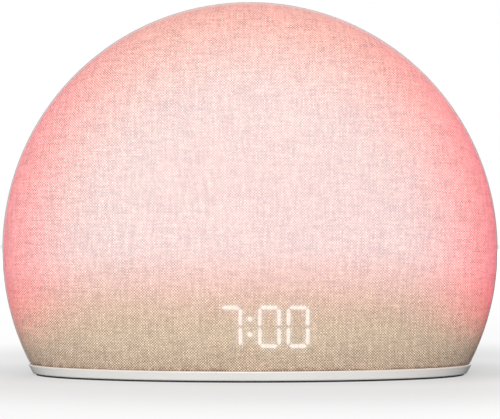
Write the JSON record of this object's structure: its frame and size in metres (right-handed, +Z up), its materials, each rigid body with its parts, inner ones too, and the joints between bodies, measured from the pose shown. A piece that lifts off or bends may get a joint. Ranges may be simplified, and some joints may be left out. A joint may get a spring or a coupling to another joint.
{
  "type": "sunrise alarm clock",
  "caption": "Dome-shaped bedside lamp and alarm clock with a cloth front, seven-segment display, speaker grille, top buttons and rear rockers.",
  "frame": {"origin": "on the table, under the middle of the case", "axes": "+Z up, -Y out of the lit cloth front, +X to the right as seen from the front"},
  "size_m": [0.203, 0.092, 0.1523],
  "materials": {
    "base_plastic": "satin",
    "cable_sleeve": "satin",
    "capacitor_sleeve": "gloss",
    "case_plastic": "fine spark texture",
    "chip_plastic": "matt",
    "clear_guide": "satin",
    "cloth": "plain weave cloth",
    "cone_paper": "matt",
    "copper_wire": "enamelled",
    "dark_plastic": "matt",
    "ferrite": "matt",
    "frame_plastic": "satin",
    "green_board": "solder mask",
    "key_plastic": "satin",
    "lamp_package": "gloss",
    "opal_plastic": "translucent, satin",
    "plated_steel": "plated",
    "pressed_steel": "satin",
    "rubber": "matt",
    "screw_steel": "zinc plated",
    "speaker_cloth": "matt",
    "spider_cloth": "matt",
    "spring_steel": "drawn",
    "trim_plastic": "satin",
    "white_board": "white solder mask",
    "white_nylon": "satin"
  },
  "bodies": {
    "case": {"base_pan": "base_plastic", "base_screws": "screw_steel", "board_capacitors": "capacitor_sleeve", "board_chips": "chip_plastic", "board_connectors": "white_nylon", "board_shield": "plated_steel", "button_board": "green_board", "button_board_screws": "screw_steel", "button_cable": "cable_sleeve", "button_connector": "white_nylon", "button_spring_left": "spring_steel", "button_spring_right": "spring_steel", "button_switches": "plated_steel", "case_screws": "screw_steel", "dark_guides": "clear_guide", "dc_inlet": "chip_plastic", "dc_inlet_pin": "plated_steel", "diffuser_screws": "screw_steel", "diffuser_shell": "opal_plastic", "display_baffle": "dark_plastic", "display_board": "green_board", "display_cable": "cable_sleeve", "display_connector": "white_nylon", "display_leds": "lamp_package", "display_screws": "screw_steel", "fabric_cover": "cloth", "foot_pad": "rubber", "inner_frame": "frame_plastic", "led_board": "white_board", "led_board_screws": "screw_steel", "led_cable": "cable_sleeve", "led_connector": "white_nylon", "led_packages": "lamp_package", "light_shelf": "frame_plastic", "lit_guides": "clear_guide", "main_board": "green_board", "main_board_screws": "screw_steel", "rear_shell": "case_plastic", "rocker_pins": "spring_steel", "rocker_switches": "plated_steel", "speaker_basket": "pressed_steel", "speaker_cable": "cable_sleeve", "speaker_cloth": "speaker_cloth", "speaker_enclosure": "dark_plastic", "speaker_magnet": "ferrite", "speaker_screws": "screw_steel", "speaker_spider": "spider_cloth", "speaker_surround": "rubber", "speaker_terminals": "dark_plastic", "speaker_yoke": "plated_steel", "trim_ring": "trim_plastic"},
    "button_left": {"button_left": "key_plastic", "switch_plunger_left": "chip_plastic"},
    "button_right": {"button_right": "key_plastic", "switch_plunger_right": "chip_plastic"},
    "brightness_rocker": {"brightness_rocker": "key_plastic"},
    "volume_rocker": {"volume_rocker": "key_plastic"},
    "cone": {"speaker_cone": "cone_paper", "dust_cap": "cone_paper", "voice_coil": "copper_wire"}
  },
  "joints": [
    {"name": "button_left_press", "type": "slide", "parent": "case", "child": "button_left", "axis": [0, 0, -1], "range_m": [0, 0.0006], "stiffness_N_per_m": 800, "springref_m": -0.0005, "deforming": ["button_spring_left"]},
    {"name": "button_right_press", "type": "slide", "parent": "case", "child": "button_right", "axis": [0, 0, -1], "range_m": [0, 0.0006], "stiffness_N_per_m": 800, "springref_m": -0.0005, "deforming": ["button_spring_right"]},
    {"name": "brightness_rocker_tilt", "type": "hinge", "parent": "case", "child": "brightness_rocker", "pos_m": [0.036, 0.036, 0.026], "axis": [1, 0, 0], "range_deg": [-3, 3], "stiffness_Nm_per_rad": 0.05},
    {"name": "volume_rocker_tilt", "type": "hinge", "parent": "case", "child": "volume_rocker", "pos_m": [-0.036, 0.036, 0.026], "axis": [1, 0, 0], "range_deg": [-3, 3], "stiffness_Nm_per_rad": 0.05},
    {"name": "cone_stroke", "type": "slide", "parent": "case", "child": "cone", "axis": [0, 1, 0], "range_m": [-0.001, 0.001], "stiffness_N_per_m": 1500, "deforming": ["speaker_surround", "speaker_spider"]}
  ]
}
